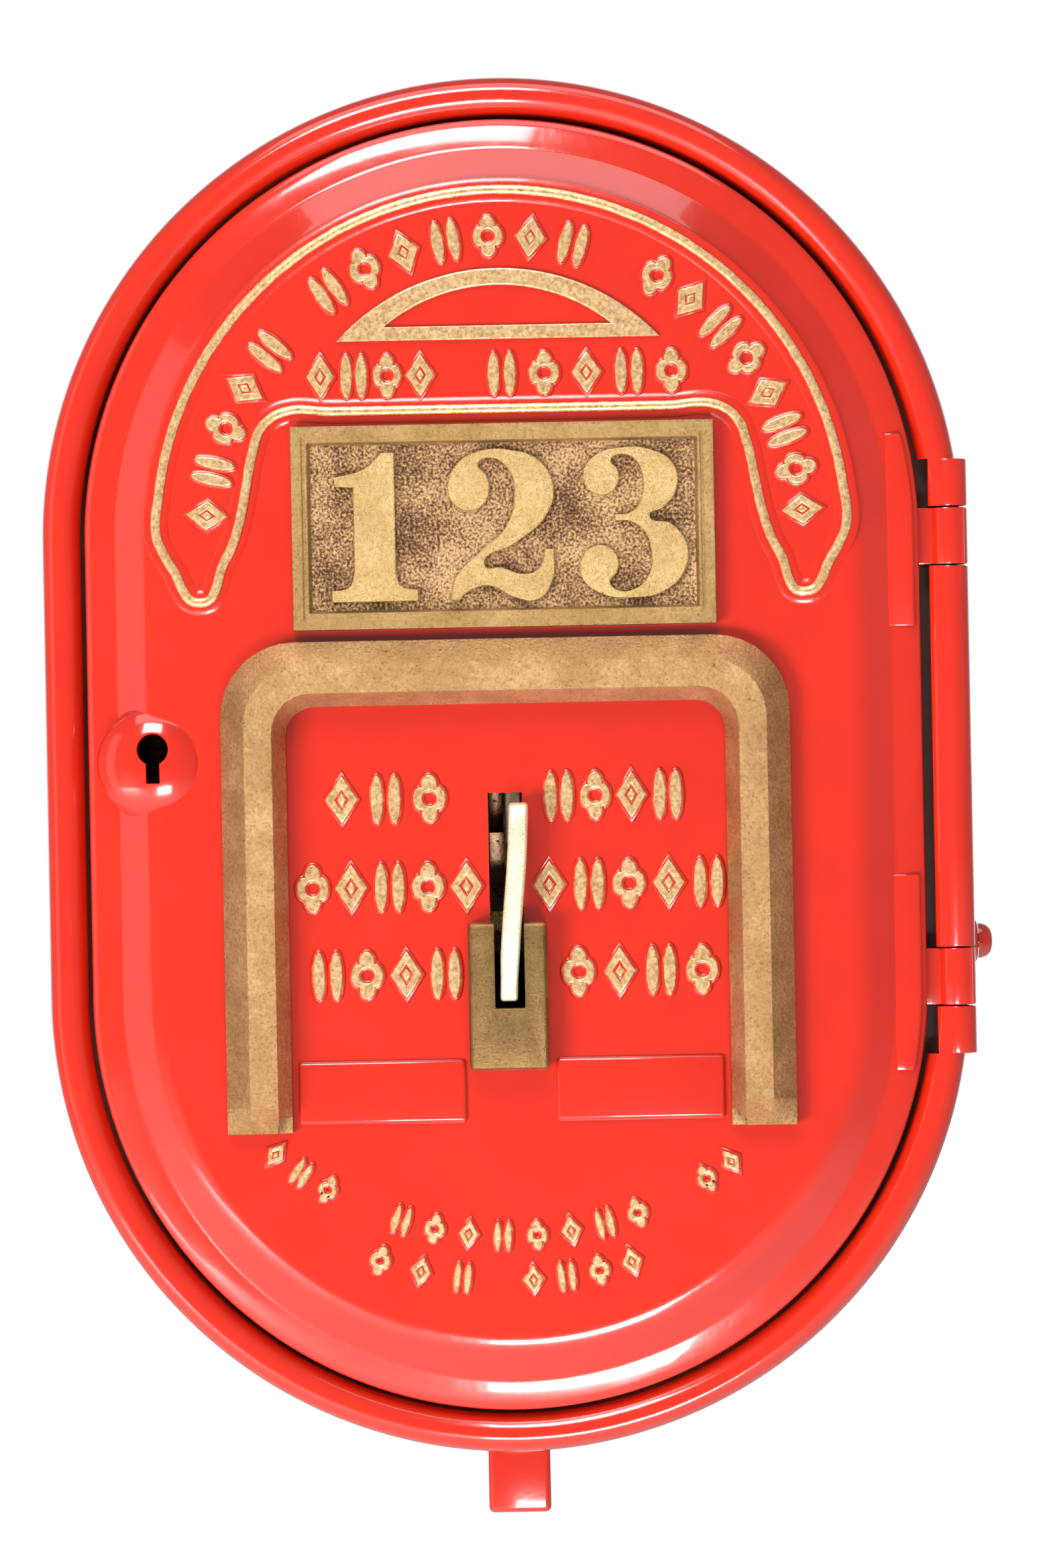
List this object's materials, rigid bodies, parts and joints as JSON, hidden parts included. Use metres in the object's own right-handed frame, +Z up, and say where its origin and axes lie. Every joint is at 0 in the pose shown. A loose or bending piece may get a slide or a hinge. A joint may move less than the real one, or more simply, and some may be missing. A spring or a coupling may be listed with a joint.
{
  "type": "street fire alarm box",
  "caption": "Cast-iron wall box with a hinged enamelled door, keyhole, number plate, glass guard and pull hook, around a spring-driven signal movement.",
  "frame": {"origin": "centre of the back face, which lies on the wall", "axes": "+Z up along the box, +Y into the wall, the door faces -Y, the hinge is on the +X side"},
  "size_m": [0.2875, 0.1138, 0.4392],
  "materials": {
    "red_enamel": "gloss enamel over cast iron, the raised ornament gilded",
    "gilded_brass": "cast, painted gold and worn",
    "cast_brass": "sand cast with bright edges",
    "polished_brass": "polished by hands",
    "copper": "worn copper wash",
    "brass": "machined and lacquered",
    "steel": "turned or filed steel",
    "blued_steel": "heat blued",
    "fibre": "vulcanised fibre",
    "cloth_covered_wire": "waxed cotton braid"
  },
  "bodies": {
    "wall_box": {"back_box": "red_enamel", "hinge_pin": "steel", "side_screw": "red_enamel", "bolt_keeper": "brass", "keeper_screw_1": "steel", "keeper_screw_2": "steel", "movement_back_plate": "brass", "movement_front_plate": "brass", "pillar_1": "brass", "pillar_2": "brass", "pillar_3": "brass", "pillar_4": "brass", "plate_screw_1": "blued_steel", "plate_screw_2": "blued_steel", "plate_screw_3": "blued_steel", "plate_screw_4": "blued_steel", "mount_screw_1": "steel", "mount_screw_2": "steel", "mount_screw_3": "steel", "mount_screw_4": "steel", "mainspring": "blued_steel", "contact_block": "fibre", "contact_spring_1": "brass", "contact_spring_2": "brass", "trip_bracket": "brass", "trip_pin": "steel", "terminal_block": "fibre", "binding_post_1": "brass", "binding_post_2": "brass", "lead_1": "cloth_covered_wire", "lead_2": "cloth_covered_wire"},
    "door": {"door": "red_enamel", "number_plate": "gilded_brass", "number_plate_screw_1": "brass", "number_plate_screw_2": "brass", "glass_guard": "gilded_brass", "guard_screw_1": "brass", "guard_screw_2": "brass", "hook_guide": "cast_brass", "lock_body": "brass", "lock_screw_1": "steel", "lock_screw_2": "steel", "hook_bracket": "brass", "bracket_screw_1": "brass", "bracket_screw_2": "brass", "hook_pin": "steel", "hook_spring": "steel"},
    "lock_bolt": {"lock_bolt": "steel"},
    "pull_hook": {"pull_hook": "polished_brass"},
    "trip_lever": {"trip_lever": "copper"},
    "great_wheel": {"great_wheel": "brass", "ratchet_click": "steel"},
    "winding_arbor": {"winding_arbor": "steel"},
    "code_wheel": {"code_arbor": "steel", "code_wheel": "brass", "code_drive_wheel": "brass"},
    "intermediate_wheel": {"intermediate_arbor": "steel", "intermediate_wheel": "brass"},
    "governor": {"fly_arbor": "steel", "governor_fly": "brass"}
  },
  "joints": [
    {"name": "door_swing", "type": "hinge", "parent": "wall_box", "child": "door", "pos_m": [0.1351, -0.0862, 0], "axis": [0, 0, 1], "range_deg": [0, 110]},
    {"name": "lock_bolt_slide", "type": "slide", "parent": "door", "child": "lock_bolt", "axis": [-1, 0, 0], "range_m": [0, 0.008]},
    {"name": "hook_pull", "type": "hinge", "parent": "door", "child": "pull_hook", "pos_m": [0, -0.0855, 0.006], "axis": [-1, 0, 0], "range_deg": [0, 30], "stiffness_Nm_per_rad": 0.3, "springref_deg": -9.74},
    {"name": "trip_rock", "type": "hinge", "parent": "wall_box", "child": "trip_lever", "pos_m": [0, -0.066, -0.042], "axis": [-1, 0, 0], "range_deg": [0, 7]},
    {"name": "governor_turn", "type": "hinge", "parent": "wall_box", "child": "governor", "pos_m": [0.04896, -0.03, 0.05772], "axis": [0, 1, 0], "continuous": true},
    {"name": "intermediate_turn", "type": "hinge", "parent": "wall_box", "child": "intermediate_wheel", "pos_m": [0.02598, -0.03, 0.077], "axis": [0, 1, 0], "continuous": true},
    {"name": "code_turn", "type": "hinge", "parent": "wall_box", "child": "code_wheel", "pos_m": [0, -0.03, 0.062], "axis": [0, 1, 0], "continuous": true},
    {"name": "great_wheel_turn", "type": "hinge", "parent": "wall_box", "child": "great_wheel", "pos_m": [-0.0375, -0.03, 0.062], "axis": [0, 1, 0], "continuous": true},
    {"name": "winding_turn", "type": "hinge", "parent": "great_wheel", "child": "winding_arbor", "pos_m": [-0.0375, -0.03, 0.062], "axis": [0, 1, 0], "continuous": true}
  ],
  "couplings": [
    {"joint": "trip_rock", "follows": "hook_pull", "ratio": 0.2133},
    {"joint": "intermediate_turn", "follows": "governor_turn", "ratio": -0.25},
    {"joint": "code_turn", "follows": "governor_turn", "ratio": 0.0625},
    {"joint": "great_wheel_turn", "follows": "governor_turn", "ratio": -0.015625}
  ]
}
